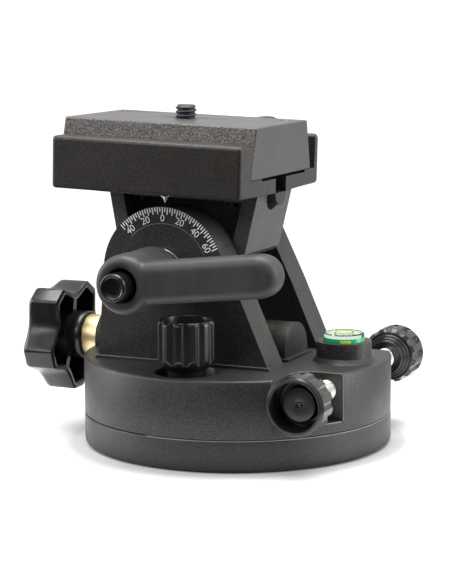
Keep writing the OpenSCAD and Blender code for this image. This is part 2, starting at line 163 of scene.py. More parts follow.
def powder_coat(name, dark, light, rough, grain=0.36, height=0.045, tint=None, off_y_colour=None):
    """Satin powder paint: orange-peel cells, and lighter flecks about grain millimetres wide."""
    paint = Paint(name, dark, rough)
    cells = paint.cells(grain * 1.5)
    fleck = paint.noise(grain, detail=2.5)
    cloud = paint.noise(9.0)
    speckled = paint.mix(paint.spread(fleck, 0.40, 0.62, 0, 1), dark, light)
    if tint:
        warm = paint.nodes.new("ShaderNodeMix")
        warm.data_type = "RGBA"
        warm.blend_type = "MULTIPLY"
        warm.inputs["B"].default_value = (*tint, 1)
        paint.links.new(paint.spread(paint.noise(grain * 1.3), 0.45, 0.6, 0, 1), warm.inputs["Factor"])
        paint.links.new(speckled, warm.inputs["A"])
        speckled = warm.outputs["Result"]
    if off_y_colour:
        # faces that don't look along Y get plain grey; the lighter speckle on the Y-facing sides is partly
        # painted light from above
        split = paint.nodes.new("ShaderNodeSeparateXYZ")
        paint.links.new(paint.nodes["Texture Coordinate"].outputs["Normal"], split.inputs[0])
        square = paint.nodes.new("ShaderNodeMath")
        square.operation = "MULTIPLY"
        for socket in square.inputs[:2]:
            paint.links.new(split.outputs["Y"], socket)
        plain = paint.nodes.new("ShaderNodeMix")
        plain.data_type = "RGBA"
        plain.inputs["A"].default_value = (*off_y_colour, 1)
        paint.links.new(paint.spread(square.outputs["Value"], 0.2, 0.5, 0, 1), plain.inputs["Factor"])
        paint.links.new(speckled, plain.inputs["B"])
        speckled = plain.outputs["Result"]
    paint.colour(speckled)
    paint.rough(paint.spread(cloud, 0.3, 0.7, rough - 0.04, rough + 0.05))
    paint.bump(cells, height)
    paint.bump(fleck, height * 0.6)
    return paint.material


def moulded(name, colour, rough, grain=0.25, height=0.006, coat=0.0):
    """Moulded plastic with faint flow marks and a fine spark-eroded texture."""
    paint = Paint(name, colour, rough, Coat_Weight=coat, Coat_Roughness=0.12)
    flow = paint.noise(5.0, detail=3.0, stretch=(1, 1, 0.35))
    paint.rough(paint.spread(flow, 0.3, 0.7, rough - 0.05, rough + 0.06))
    paint.colour(paint.mix(paint.spread(flow, 0.3, 0.7, 0, 1), colour, [c * 1.3 for c in colour]))
    paint.bump(paint.noise(grain), height)
    return paint.material


def machined(name, colour, rough, axis, height=0.003):
    """Bare or plated metal with fine tool lines across the named axis."""
    paint = Paint(name, colour, rough, metal=1.0)
    fine = {"x": (1, 0, 0), "y": (0, 1, 0), "z": (0, 0, 1)}[axis]
    lines = paint.noise(0.12, detail=3.0, stretch=fine)
    stain = paint.noise(4.0)
    paint.rough(paint.spread(lines, 0.3, 0.7, rough - 0.06, rough + 0.08))
    paint.colour(paint.mix(paint.spread(stain, 0.3, 0.7, 0, 1), colour, [c * 0.93 for c in colour]))
    paint.bump(lines, height)
    return paint.material


def clear(name, colour, rough, ior):
    """Clear moulded acrylic."""
    paint = Paint(name, colour, rough, Transmission_Weight=1.0, IOR=ior)
    paint.bump(paint.noise(1.5), 0.002)
    return paint.material


COAT = powder_coat("powder_coat", (0.008, 0.0075, 0.007), (0.040, 0.037, 0.035), 0.46)
COAT_BASE = powder_coat(
    "powder_coat_base", (0.010, 0.0095, 0.0095), (0.026, 0.025, 0.025), 0.47, grain=0.4, height=0.03)
COAT_HEAD = powder_coat(
    "powder_coat_head", (0.007, 0.0065, 0.006), (0.050, 0.045, 0.042), 0.45, grain=0.28,
    tint=(1.0, 0.86, 0.74))
# the plate's slanted fronts get a light, warm speckle: partly painted light for the overhead light they
# catch
COAT_PLATE = powder_coat(
    "powder_coat_plate", (0.020, 0.019, 0.018), (0.165, 0.152, 0.147), 0.40, grain=0.45, height=0.07,
    tint=(1.0, 0.86, 0.78), off_y_colour=(0.066, 0.068, 0.066))
# lighter than the other black coats so that the yoke's lit side comes out bright: painted light
COAT_YOKE = powder_coat(
    "powder_coat_yoke", (0.050, 0.050, 0.050), (0.105, 0.104, 0.103), 0.42, grain=0.3, height=0.03)
# a lighter coat for broken edges: painted highlight lines
COAT_EDGE_HIGHLIGHT = powder_coat("powder_coat_edge_highlight", (0.05, 0.048, 0.046), (0.14, 0.135, 0.13), 0.4, height=0.02)
DIAL = powder_coat(
    "dial_print", (0.010, 0.0095, 0.009), (0.034, 0.031, 0.029), 0.42, grain=0.4, height=0.03)
KNOB = moulded("knob_black", (0.010, 0.010, 0.0105), 0.30, coat=0.2)
STAR = moulded("star_black", (0.008, 0.008, 0.0085), 0.28, coat=0.1)
LEVER = moulded("lever_plastic", (0.032, 0.0315, 0.033), 0.50, grain=0.35, height=0.03)
BUTTON = moulded("button_black", (0.004, 0.004, 0.0045), 0.24, coat=0.1)
NYLON = moulded("nylon", (0.62, 0.61, 0.56), 0.5)
ZINC_Y = machined("zinc_screw", (0.86, 0.84, 0.79), 0.48, "y")
ZINC = machined("zinc_steel", (0.62, 0.62, 0.62), 0.4, "z")
STEEL_Y = machined("bright_steel", (0.66, 0.65, 0.63), 0.3, "y")
STEEL_X = machined("worm_steel", (0.6, 0.6, 0.6), 0.3, "x")
STUD = machined("stud_steel", (0.10, 0.096, 0.108), 0.55, "z")
BLACK_SCREW = machined("black_screw", (0.045, 0.045, 0.045), 0.4, "z")
BRASS_X = machined("collar_brass", (1.0, 0.80, 0.44), 0.40, "x", height=0.0006)
BRASS = machined("bush_brass", (0.80, 0.60, 0.30), 0.3, "z")
ALLOY = machined("shoe_alloy", (0.70, 0.70, 0.71), 0.36, "x")
PRINT = moulded("white_print", (0.82, 0.82, 0.80), 0.5)
# light grey for thin beads along edges: painted highlight lines
HIGHLIGHT_LINE = moulded("painted_highlight_line", (0.20, 0.195, 0.19), 0.45)
GREEN = moulded("level_green", (0.01, 0.50, 0.16), 0.3, coat=0.4)
LIME = moulded("level_lime", (0.86, 1.0, 0.10), 0.35)
FLUID = moulded("level_liquid", (0.70, 0.92, 0.14), 0.15, coat=0.5)
AIR = moulded("level_air", (0.90, 1.0, 0.55), 0.12, coat=0.5)
ACRYLIC = clear("level_clear", (0.98, 1.0, 0.985), 0.03, ior=1.18)
INK = moulded("ring_ink", (0.01, 0.012, 0.01), 0.4)

# material of each CAD node, by the record's material slot
BY_SLOT = {
    "powder_coat": COAT, "powder_coat_base": COAT_BASE, "powder_coat_head": COAT_HEAD,
    "powder_coat_plate": COAT_PLATE, "powder_coat_yoke": COAT_YOKE, "dial_print": DIAL,
    "bush_brass": BRASS, "collar_brass": BRASS_X, "zinc_steel": ZINC, "zinc_screw": ZINC_Y,
    "bright_steel": STEEL_Y, "stud_steel": STUD, "black_screw": BLACK_SCREW, "spring_steel": STEEL_Y,
    "shoe_alloy": ALLOY, "nylon": NYLON, "knob_black": KNOB, "star_black": STAR,
    "lever_plastic": LEVER, "button_black": BUTTON, "level_green": GREEN, "level_liquid": FLUID,
    "level_air": AIR, "level_clear": ACRYLIC,
}
for part in frame["record"]["subparts"]:
    node = frame["nodes"][part["node"]]
    if not node.data.materials:
        node.data.materials.append(None)
    node.material_slots[0].material = BY_SLOT[part["material_slot"]]


# making meshes ------------------------------------------------------------------------------------


def add_piece(name, points, faces, material, body, slot, replaces=(), sharp=38):
    """A mesh piece from points in millimetres, riding on a body."""
    mesh = bpy.data.meshes.new(name)
    mesh.from_pydata([Vector(p) * MM for p in points], [], faces)
    mesh.validate()
    mesh.polygons.foreach_set("use_smooth", [True] * len(mesh.polygons))
    mesh.set_sharp_from_angle(angle=math.radians(sharp))
    mesh.materials.append(material)
    piece = bpy.data.objects.new(name, mesh)
    bpy.context.scene.collection.objects.link(piece)
    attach(piece, body)
    if replaces:
        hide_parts(*replaces)
    return piece


def skin(rings, closed_ends=True):
    """Quads between rings of equal length; the first and last ring are closed with a flat cap."""
    count = len(rings[0])
    points = [p for ring in rings for p in ring]
    faces = []
    for r in range(len(rings) - 1):
        for i in range(count):
            j = (i + 1) % count
            faces.append((r * count + i, r * count + j, (r + 1) * count + j, (r + 1) * count + i))
    if closed_ends:
        faces.append(tuple(reversed(range(count))))
        faces.append(tuple(range((len(rings) - 1) * count, len(rings) * count)))
    return points, faces


def joined(*parts):
    """Several (points, faces) as one."""
    points, faces = [], []
    for more_points, more_faces in parts:
        faces += [tuple(i + len(points) for i in face) for face in more_faces]
        points += more_points
    return points, faces


def moved(part, matrix):
    points, faces = part
    return [matrix @ Vector(p) for p in points], faces


def turned(profile, steps=96, shape=None, closed_ends=True):
    """Turns (radius, height) points about Z. shape(angle, radius, height) may change the radius."""
    rings = []
    for radius, z in profile:
        ring = []
        for i in range(steps):
            angle = 2 * math.pi * i / steps
            r = shape(angle, radius, z) if shape else radius
            ring.append((r * math.cos(angle), r * math.sin(angle), z))
        rings.append(ring)
    return skin(rings, closed_ends)


def rounded(corners, radius=0.3, steps=3):
    """A profile whose corners are rounded off by radius, except at both ends."""
    out = [corners[0]]
    for before, corner, after in zip(corners, corners[1:], corners[2:]):
        c = Vector(corner)
        a, b = Vector(before) - c, Vector(after) - c
        reach = min(radius, a.length * 0.45, b.length * 0.45)
        start, end = c + a.normalized() * reach, c + b.normalized() * reach
        for i in range(steps + 1):
            t = i / steps
            p = start * (1 - t) ** 2 + c * 2 * t * (1 - t) + end * t ** 2
            out.append((p.x, p.y))
    return out + [corners[-1]]


def thread(crest, depth, pitch, start, end, chamfer=0.6, steps=48, per_turn=10):
    """A right-hand 60-degree thread along Z, with chamfered ends."""
    count = math.ceil((end - start) / pitch * per_turn)
    profile = [(crest, start + (end - start) * i / count) for i in range(count + 1)]

    def shape(angle, radius, z):
        wave = abs(((z / pitch - angle / (2 * math.pi)) % 1) * 2 - 1)
        groove = radius - depth * min(1, max(0, 1.25 * wave - 0.125))
        edge = radius - depth * max(0, 1 - min(z - start, end - z) / chamfer)
        return min(groove, edge)

    return turned(profile, steps, shape)


FLUTES = 12
FLUTED_STEPS = FLUTES * 18   # points round a fluted knob


def fluted(radius, depth, first, outer_only=0.86, width=0.56):
    """Shape function of a knob's grip: flutes with round hollows between lobes.

    first is the angle of one flute's middle in degrees, and width its share of the pitch. Only what lies
    outside outer_only of the radius is fluted.
    """
    pitch = 2 * math.pi / FLUTES
    half = radius * pitch * width / 2
    hollow = (half ** 2 + depth ** 2) / (2 * depth)

    def shape(angle, r, z):
        if r < radius * outer_only:
            return r
        across = ((angle - math.radians(first) + pitch / 2) % pitch - pitch / 2) * radius
        if abs(across) >= half:
            return r
        sag = math.sqrt(hollow ** 2 - across ** 2) - (hollow - depth)
        return min(r, radius - sag)

    return shape


# axes: local Z becomes the direction named
TO_FRONT = Matrix.Rotation(math.radians(90), 4, "X")
TO_REAR = Matrix.Rotation(math.radians(-90), 4, "X")
TO_RIGHT = Matrix.Rotation(math.radians(90), 4, "Y")
TO_LEFT = Matrix.Rotation(math.radians(-90), 4, "Y")

# the head's frame at the altitude axis, level with its saddle, and the clamp lever's along its handle
HEAD = Matrix.Translation(ALTITUDE) @ Matrix.Rotation(REST_TILT, 4, "Y")
ARM = Matrix.Translation(ALTITUDE) @ Matrix.Rotation(-LEVER_UP, 4, "Y")


# knobs --------------------------------------------------------------------------------------------


def knob_profile(radius, length, hub, cup, boss, cup_floor, boss_top):
    """Section of a fluted knob from its screw hole, round the outside, to the boss in its cup."""
    back = length * 0.27
    steps = [(3.0, 0), (hub, 0), (hub, back * 0.5), (hub + 0.6, back * 0.52), (hub + 0.6, back * 0.75)]
    steps += [(hub + 1.3, back * 0.78), (hub + 1.3, back), (radius - 1.1, back + 0.1), (radius, back + 1.2)]
    steps += [(radius, length - 1.0), (radius - 0.7, length), (cup, length), (cup - 0.35, cup_floor)]
    steps += [(boss, cup_floor), (boss - 0.15, boss_top)]
    steps += [(1.0, boss_top), (0.7, boss_top - 0.5), (0.1, boss_top - 0.7)]
    return rounded(steps, 0.25)


def run_out(shape, end, reach):
    """The flutes of shape, ending in a round run-out before the height end."""
    def shaped(angle, r, z):
        cut = shape(angle, r, z)
        share = min(1.0, max(0.0, (end - z) / reach))
        return r - (r - cut) * math.sqrt(share * (2 - share))
    return shaped


def grip_knob(name, matrix, radius, length, hub, cup, boss, cup_floor, boss_top, first, node):
    """A fluted screw knob, whose flutes run out just before its front rim."""
    rim, run = 0.9, 0.9
    shape = run_out(fluted(radius, 0.85, first), length - rim, run)
    profile = knob_profile(radius, length, hub, cup, boss, cup_floor, boss_top)
    # more points on the outside where the flutes run out
    whole = next(i for i, (r, z) in enumerate(profile) if r > radius - 0.01 and z < length * 0.6)
    sides = [(radius, length - rim - run * k / 5) for k in range(5, -1, -1)]
    front = [(r, z) for r, z in profile[whole + 1:] if z > length - rim or r < radius - 0.5]
    part = moved(turned(profile[:whole + 1] + sides + front, FLUTED_STEPS, shape), matrix)
    add_piece(name, *part, KNOB, node, "knob_black", [node], sharp=50)


def azimuth_line():
    """Local Y runs along the azimuth screws' common line, and the origin is at the peg between them."""
    front, rear, peg = (middle(f"azimuth_{name}") / MM for name in ("screw_front", "screw_rear", "peg"))
    turn = math.atan2(front.x - rear.x, rear.y - front.y)
    return Matrix.Translation((peg.x, peg.y, front.z)) @ Matrix.Rotation(turn, 4, "Z")


AZIMUTH_KNOB_AT, AZIMUTH_SCREW_AT = 32.45, 6.25   # where each starts, from the peg outwards
AZIMUTH_SCREW_LENGTH = 33.0
SCREW_R, SCREW_PITCH = 3.0, 1.0                   # the fine screws, and the lock and clamp studs


def azimuth_side(side, turn):
    """Knob and threaded screw of one azimuth adjuster. side is -1 at the front and 1 at the rear."""
    end = "front" if side < 0 else "rear"
    knob, screw = f"azimuth_knob_{end}", f"azimuth_screw_{end}"
    line = azimuth_line()
    # the flutes' phase is seen from the front, so the rear knob's runs the other way about its own axis
    first = 3.3 if side < 0 else -3.3
    place = line @ Matrix.Translation((0, side * AZIMUTH_KNOB_AT, 0)) @ turn
    grip_knob(f"azimuth_grip_{end}", place, 8.4, 12.8, 5.2, 7.0, 4.9, 5.3, 8.8, first, knob)
    place = line @ Matrix.Translation((0, side * AZIMUTH_SCREW_AT, 0)) @ turn
    rod = moved(thread(SCREW_R, 0.55, SCREW_PITCH, 0, AZIMUTH_SCREW_LENGTH), place)
    add_piece(f"azimuth_thread_{end}", *rod, ZINC_Y, knob, "zinc_screw", [screw])


azimuth_side(-1, TO_FRONT)
azimuth_side(1, TO_REAR)


def azimuth_lock():
    """The tall azimuth lock knob (a hub, a tapered foot and a deep cup on top) and its stud."""
    radius = 8.2
    bottom = low("lock_knob").z
    length = high("lock_knob").z - bottom
    place = Matrix.Translation((LOCK.x, LOCK.y, bottom))
    steps = [(3.0, 0), (5.4, 0), (5.4, 3.3), (6.0, 3.5), (7.6, 5.2)]
    steps += [(radius, 6.4), (radius, 9), (radius, 14), (radius, length - 0.8)]
    steps += [(7.6, length), (6.8, length), (6.6, 12.9), (4.4, 12.9), (4.3, 14.6)]
    steps += [(0.9, 14.6), (0.15, 14.1)]
    part = moved(turned(rounded(steps, 0.3), FLUTED_STEPS, fluted(radius, 0.75, -65.7)), place)
    add_piece("lock_grip", *part, KNOB, "lock_knob", "knob_black", ["lock_knob"], sharp=50)
    stud = thread(SCREW_R, 0.5, SCREW_PITCH, low("lock_stud").z + 1.5, high("lock_stud").z - 3)
    part = moved(stud, Matrix.Translation((LOCK.x, LOCK.y, 0)))
    add_piece("lock_thread", *part, ZINC, "lock_knob", "zinc_steel", ["lock_stud"])


azimuth_lock()


def dovetail_clamp():
    """Knob and screw behind the saddle, which push the clamp shoe."""
    screw_x, screw_z = 2.4, 31.2
    place = HEAD @ Matrix.Translation((screw_x, 0, screw_z)) @ TO_REAR
    at_knob = place @ Matrix.Translation((0, 0, 30.4))
    grip_knob("clamp_grip", at_knob, 10.0, 13.1, 5.6, 8.0, 5.0, 8.6, 11.4, 15, "clamp_knob")
    rod = thread(SCREW_R, 0.5, SCREW_PITCH, 23.9, 40.5)
    add_piece("clamp_thread", *moved(rod, place), ZINC, "clamp_knob", "zinc_steel", ["clamp_screw"])


dovetail_clamp()


# star knob ----------------------------------------------------------------------------------------

STAR_R, STAR_FRONT = 16.95, 10.3
LOBE_HALF = math.radians(10.2)
HOLLOW_BACK, HOLLOW_FRONT = 2.4, 1.2   # the hollows are deeper at the open back


def star_radius(angle, shrink, hollow):
    """Outline of the star knob: five flat lobes with rounded corners, and hollows between them."""
    across = abs((angle + math.pi / 5) % (2 * math.pi / 5) - math.pi / 5)
    flat = STAR_R * math.cos(LOBE_HALF) / math.cos(min(across, LOBE_HALF + 0.1)) + 0.25
    side = STAR_R * math.cos(math.pi / 5 - LOBE_HALF)
    side /= math.cos(max(across, LOBE_HALF - 0.1) - math.pi / 5)
    share = min(1.0, max(-0.3, (across - LOBE_HALF) / (math.pi / 5 - LOBE_HALF)))
    side -= hollow * math.sin(share * math.pi / 2)
    # the smaller of the two, blended over the corner
    keen = 4.5
    blended = -math.log(math.exp(-keen * (flat - STAR_R)) + math.exp(-keen * (side - STAR_R))) / keen
    return blended + STAR_R - shrink


def star_ring(shrink, z, blend=1.0, circle=0.0, steps=300):
    """One ring of the knob: blend 1 is the star outline shrunk by shrink, and 0 a circle."""
    ring = []
    hollow = HOLLOW_BACK + (HOLLOW_FRONT - HOLLOW_BACK) * min(1, max(0, z / STAR_FRONT))
    for i in range(steps):
        angle = 2 * math.pi * i / steps
        r = blend * star_radius(angle, shrink, hollow) + (1 - blend) * circle
        ring.append((r * math.cos(angle + STAR_TURN), r * math.sin(angle + STAR_TURN), z))
    return ring


def round_ring(radius, z):
    """One round ring, with as many points as the star's."""
    return star_ring(0, z, 0, radius)


STAR_WALL = 2.1
STAR_HUB_BACK = -4.4   # the hub stands out behind the rim


def star_rings():
    """The star knob's rings: from its middle over the front and rim, through the hollow, down the hub."""
    front, wall, dish = STAR_FRONT, STAR_WALL, STAR_FRONT - 0.5
    face = [(0.3, front), (5.0, front), (5.3, dish), (6.4, dish), (6.8, front)]
    rings = [round_ring(r, z) for r, z in face]
    rim = [(2.2, front), (1.1, front - 0.12), (0.45, front - 0.5), (0.1, front - 1.1), (0, front - 2)]
    rim += [(0, 0.5), (0.12, 0.15), (0.4, 0), (wall - 0.35, 0), (wall - 0.1, 0.15)]
    rim += [(wall, 0.5), (wall + 0.25, 7.6), (wall + 0.7, 8.0)]
    rings += [star_ring(shrink, z) for shrink, z in rim]
    hub = [(9.4, 8.0), (9.0, 7.6), (7.4, 0.5), (7.0, -1.2), (7.25, -1.6), (7.3, -4.1)]
    hub += [(7.0, STAR_HUB_BACK), (6.8, STAR_HUB_BACK), (6.6, -4.2), (3.05, -4.1)]
    return rings + [round_ring(r, z) for r, z in hub]


def star_knob():
    """Hollow-backed star knob with a hub, and webs from the hub to the hollows of the rim."""
    place = Matrix.Translation((high("star_knob").x + STAR_HUB_BACK, 0, WORM.z)) @ TO_LEFT
    webs = []
    for k in range(5):
        turn = Matrix.Rotation(math.radians(36 + 72 * k) + STAR_TURN, 4, "Z")
        section = [(7.0, -1.0, 0.9), (7.0, 1.0, 0.9), (10.9, 0.95, 0.5), (10.9, -0.95, 0.5)]
        floor = [(8.6, -1.2, 8.1), (8.6, 1.2, 8.1), (11.2, 1.1, 8.1), (11.2, -1.1, 8.1)]
        webs.append(moved(skin([section, floor]), turn))
    part = moved(joined(skin(star_rings()), *webs), place)
    add_piece("star_grip", *part, STAR, "worm", "star_black", ["star_knob"], sharp=60)
    cap = rounded([(5.0, 0), (5.0, 0.55), (4.4, 0.8), (2.0, 0.72), (0.1, 0.68)], 0.15)
    place = Matrix.Translation((high("star_cap").x, 0, WORM.z)) @ TO_LEFT
    add_piece("star_badge", *moved(turned(cap), place), STAR, "worm", "star_black", ["star_cap"])


star_knob()


def worm():
    """Worm shaft with its thread, which meshes with the wheel below the altitude axis."""
    pitch = math.pi   # that of a wheel of module 1
    start, end = -23.2, -1.8
    crest, root = 6.6, 4.6
    wheel_r = 18.5
    plain = [(0.1, -63.4), (2.7, -63.4), (3.0, -63.0), (3.0, -49.6), (3.4, -49.6), (3.4, -35.9)]
    plain += [(4.2, -35.8), (4.2, -24.7), (5.9, -24.7), (6.2, -24.4), (6.2, start)]
    after = [(6.2, end), (6.2, -0.6), (5.9, -0.3), (3.0, -0.3), (3.0, 15.7), (2.7, 16.0), (0.1, 16.0)]
    count = 110
    threaded = [(crest, start + (end - start) * i / count) for i in range(1, count)]
    contact = ALTITUDE.x - wheel_r * math.sin(REST_TILT)

    def shape(angle, radius, z):
        if not start < z < end:
            return radius
        # a crest lies on top, at +Z, where a gap of the wheel is
        wave = abs(((z - contact) / pitch - (angle - math.pi) / (2 * math.pi) + 0.5) % 1 * 2 - 1)
        return root + (crest - root) * min(1, max(0, 1.7 * wave - 0.35))

    # TO_RIGHT turns local X to -Z, so the top of the worm is at the local angle pi
    part = moved(turned(plain + threaded + after, 72, shape), Matrix.Translation(WORM) @ TO_RIGHT)
    add_piece("worm_thread", *part, STEEL_X, "worm", "bright_steel", ["worm_shaft"], sharp=50)


worm()


# camera screw -------------------------------------------------------------------------------------


def camera_screw():
    """Quarter-inch screw with its head in the plate's counterbore."""
    screw_x = -5.2
    pitch = 25.4 / 20
    shaft = thread(3.15, 0.62, pitch, 35.5, 46.7, chamfer=0.75, per_turn=12)
    head = [(0.1, 29.6), (6.8, 29.6), (6.8, 34.26), (2.9, 34.26), (2.9, 35.6), (0.1, 35.6)]
    place = HEAD @ Matrix.Translation((screw_x, 0, 0))
    part = moved(joined(shaft, turned(rounded(head, 0.3))), place)
    add_piece("camera_thread", *part, STUD, "camera_screw", "stud_steel", ["camera_screw"])


camera_screw()


# clamp lever --------------------------------------------------------------------------------------


def blend_solid(name, part, voxel, rounds, material, body, slot, replaces):
    """Joins overlapping closed shapes into one skin, with softly rounded edges and fillets."""
    piece = add_piece(name, *part, material, body, slot, replaces, sharp=180)
    remesh = piece.modifiers.new("skin", "REMESH")
    remesh.mode = "VOXEL"
    remesh.voxel_size = voxel * MM
    remesh.use_smooth_shade = True
    smooth = piece.modifiers.new("soften", "SMOOTH")
    smooth.factor = 0.5
    smooth.iterations = rounds


def lever_handle(length, back, front, edge=3.0):
    """The handle: a bar with a round end, its lower side rising to the tip, its long edges rounded."""
    layers, end_steps = 8, 24
    half_height, end_r, end_z = 6.0, 5.95, 0.4
    root_x = 5.9
    turns = [math.pi / 2 * i / layers for i in range(layers + 1)]
    rings = [(edge * (1 - math.sin(t)), back - edge * (1 - math.cos(t))) for t in turns]
    rings += [(edge * (1 - math.sin(t)), front + edge * (1 - math.cos(t))) for t in reversed(turns)]
    end_x = length - end_r
    loops = []
    for inset, y in rings:
        r = end_r - inset
        loop = [(root_x, y, inset - half_height), (end_x, y, end_z - r)]
        for k in range(1, end_steps):
            a = math.pi * k / end_steps
            loop.append((end_x + r * math.sin(a), y, end_z - r * math.cos(a)))
        loops.append(loop + [(end_x, y, end_z + r), (root_x, y, half_height - inset)])
    return skin(loops)


def clamp_lever():
    """The lever: a hub around the axle's insert and a handle, moulded in one."""
    hub = [(5.65, 26.1), (6.7, 26.1), (7.3, 26.8), (8.2, 28.4), (8.6, 30.5), (8.3, 40.3), (8.5, 42.0)]
    hub += [(8.5, 47.8), (8.1, 49.3), (7.0, 50.3), (5.2, 50.4), (4.75, 49.9)]
    hub += [(4.7, 42.2), (3.2, 42.2), (3.2, 40.0), (5.65, 40.0)]
    shell = moved(turned(rounded(hub + [hub[0]], 0.5), closed_ends=False), TO_FRONT)
    part = moved(joined(shell, lever_handle(46.2, -40.4, -49.6)), ARM)
    blend_solid("lever_body", part, 0.36, 7, LEVER, "lever", "lever_plastic", ["clamp_lever"])


clamp_lever()


def lever_button():
    """Push button in the lever's hub, with a dished face inside a thin rim."""
    steps = [(0.1, 44.5), (4.3, 44.5), (4.3, 46.3), (4.0, 46.4), (4.0, 54.3), (3.75, 54.95), (3.3, 55.1)]
    steps += [(2.9, 54.85), (1.9, 54.6), (0.1, 54.5)]
    part = moved(turned(rounded(steps, 0.2)), ARM @ TO_FRONT)
    add_piece("button_cap", *part, BUTTON, "lever_button", "button_black", ["lever_button"], sharp=60)


lever_button()


def lever_spring():
    """Coil spring behind the button, with a mesh of its own."""
    wire, radius, turns, start, length = 0.28, 3.85, 4, 42.6, 1.5
    rings = []
    steps = turns * 20
    for i in range(steps + 1):
        angle = 2 * math.pi * turns * i / steps
        out = Vector((math.cos(angle), math.sin(angle), 0))
        centre = out * radius + Vector((0, 0, start + length * i / steps))
        ring = []
        for k in range(8):
            a = 2 * math.pi * k / 8
            ring.append(centre + out * wire * math.cos(a) + Vector((0, 0, wire * math.sin(a))))
        rings.append(ring)
    part = moved(skin(rings), ARM @ TO_FRONT)
    piece = add_piece("lever_coil", *part, STEEL_Y, "lever", "spring_steel", ["lever_spring"])
    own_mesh(piece)


lever_spring()


# dial ---------------------------------------------------------------------------------------------

DIAL_FACE = low("dial_scale").y
TICK_OUT = 19.05
TICK_STEP, FIRST_TICK, LAST_TICK = 2.5, -18, 26   # the scale runs from -45 to 65 degrees
PRINT_BACK, PRINT_FRONT = 0.02, -0.03             # the print's thickness, from the dial's face


def on_dial(radius, degrees):
    """A point of the dial's face; degrees are clockwise from the top."""
    a = math.radians(degrees)
    return ALTITUDE + Vector((radius * math.sin(a), 0, radius * math.cos(a)))


def dial_print():
    """White ticks every 2.5 degrees, longer ones every 5, and a light line along the inner arc, which is a
    painted highlight.
    """
    half = 0.16
    parts = []
    for k in range(FIRST_TICK, LAST_TICK + 1):
        inner = TICK_OUT - (2.0 if k % 2 == 0 else 1.25)
        along = on_dial(1, TICK_STEP * k) - ALTITUDE
        across = Vector((along.z, 0, -along.x)) * half
        corners = [ALTITUDE + along * inner - across, ALTITUDE + along * inner + across,
                   ALTITUDE + along * TICK_OUT + across, ALTITUDE + along * TICK_OUT - across]
        back = [(p.x, DIAL_FACE + PRINT_BACK, p.z) for p in corners]
        front = [(p.x, DIAL_FACE + PRINT_FRONT, p.z) for p in corners]
        parts.append(skin([back, front]))
    add_piece("dial_ticks", *joined(*parts), PRINT, "turret", "dial_print")
    # a light arc along the inner edge of the scale's recess: a painted highlight
    start, sweep, steps = -45.4, 110.8, 60
    arc = []
    for k in range(steps + 1):
        degrees = start + sweep * k / steps
        inner, outer = on_dial(14.3, degrees), on_dial(14.45, degrees)
        back = [(p.x, DIAL_FACE + PRINT_BACK, p.z) for p in (inner, outer)]
        front = [(p.x, DIAL_FACE + PRINT_FRONT, p.z) for p in (outer, inner)]
        arc.append(back + front)
    add_piece("dial_edge", *skin(arc), HIGHLIGHT_LINE, "turret", "dial_print")


def dial_number(text, degrees):
    """A printed number, its foot towards the axle."""
    thickness = 0.015
    curve = bpy.data.curves.new("number", "FONT")
    curve.body = text
    curve.size = 2.85 * MM
    curve.align_x, curve.align_y = "CENTER", "CENTER"
    curve.extrude = thickness * MM
    curve.offset = -0.012 * MM
    curve.resolution_u = 6
    source = bpy.data.objects.new("number", curve)
    mesh = bpy.data.meshes.new_from_object(source)
    place = on_dial(15.85, degrees)
    place.y = DIAL_FACE - thickness
    turn = Matrix.Rotation(math.radians(degrees), 4, "Y") @ Matrix.Rotation(math.radians(90), 4, "X")
    mesh.transform(Matrix.Translation(place * MM) @ turn)
    name = f"dial_number_{'m' if degrees < 0 else 'p'}{abs(degrees)}"
    piece = bpy.data.objects.new(name, mesh)
    mesh.name = name
    mesh.materials.clear()
    mesh.materials.append(PRINT)
    bpy.context.scene.collection.objects.link(piece)
    bpy.data.objects.remove(source)
    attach(piece, "turret")


dial_print()
for degrees in range(-40, 61, 20):
    dial_number(str(abs(degrees)), degrees)


# level --------------------------------------------------------------------------------------------


def level():
    """Clear lens with a printed ring, over the green cup with a lime spot at the front."""
    place = Matrix.Translation((LEVEL.x, LEVEL.y, 0))
    top = high("level_lens").z
    lens = rounded([(0.1, 33.0), (5.85, 33.0), (5.85, top - 0.35), (5.5, top), (0.1, top)], 0.2)
    add_piece("level_window", *moved(turned(lens), place), ACRYLIC, "turret", "level_clear", ["level_lens"])
    inner, outer, sunk, proud = 2.45, 2.8, top - 0.02, top + 0.03
    section = [(inner, sunk), (inner, proud), (outer, proud), (outer, sunk), (inner, sunk)]
    ring = turned(rounded(section, 0.01), 72, closed_ends=False)
    add_piece("level_ring", *moved(ring, place), INK, "turret", "level_clear")
    # the fluid shows through a window in the cup's front
    section = [(5.8, 31.9), (5.99, 31.9), (5.99, 32.6), (5.8, 32.6)]
    start, sweep, steps = -80, 30, 8
    window = []
    for k in range(steps + 1):
        a = math.radians(start + sweep * k / steps)
        window.append([(r * math.cos(a), r * math.sin(a), z) for r, z in section])
    add_piece("level_spot", *moved(skin(window), place), LIME, "turret", "level_green")


level()


# painted highlight lines ------------------------------------------------------------------------


def edge_line(name, path, half=0.11, body="turret", slot="powder_coat"):
    """A thin square bead along a path, coloured light: a painted highlight on an edge."""
    points = [Vector(p) for p in path]
    rings = []
    for before, point, after in zip(points[:1] + points, points, points[1:] + points[-1:]):
        along = (after - before).normalized()
        steep = abs(along.z) >= 0.7
        side = along.cross(Vector((1, 0, 0) if steep else (0, 0, 1))).normalized() * half
        over = side.cross(along).normalized() * half
        rings.append([point + a * side + b * over for a, b in ((-1, -1), (1, -1), (1, 1), (-1, 1))])
    add_piece(name, *skin(rings), HIGHLIGHT_LINE, body, slot, sharp=60)


def on_rim(radius, z, start, end, steps=40):
    """Points of an arc about the pivot, between two angles in degrees."""
    turns = (math.radians(start + (end - start) * i / steps) for i in range(steps + 1))
    return [(radius * math.cos(a), radius * math.sin(a), z) for a in turns]


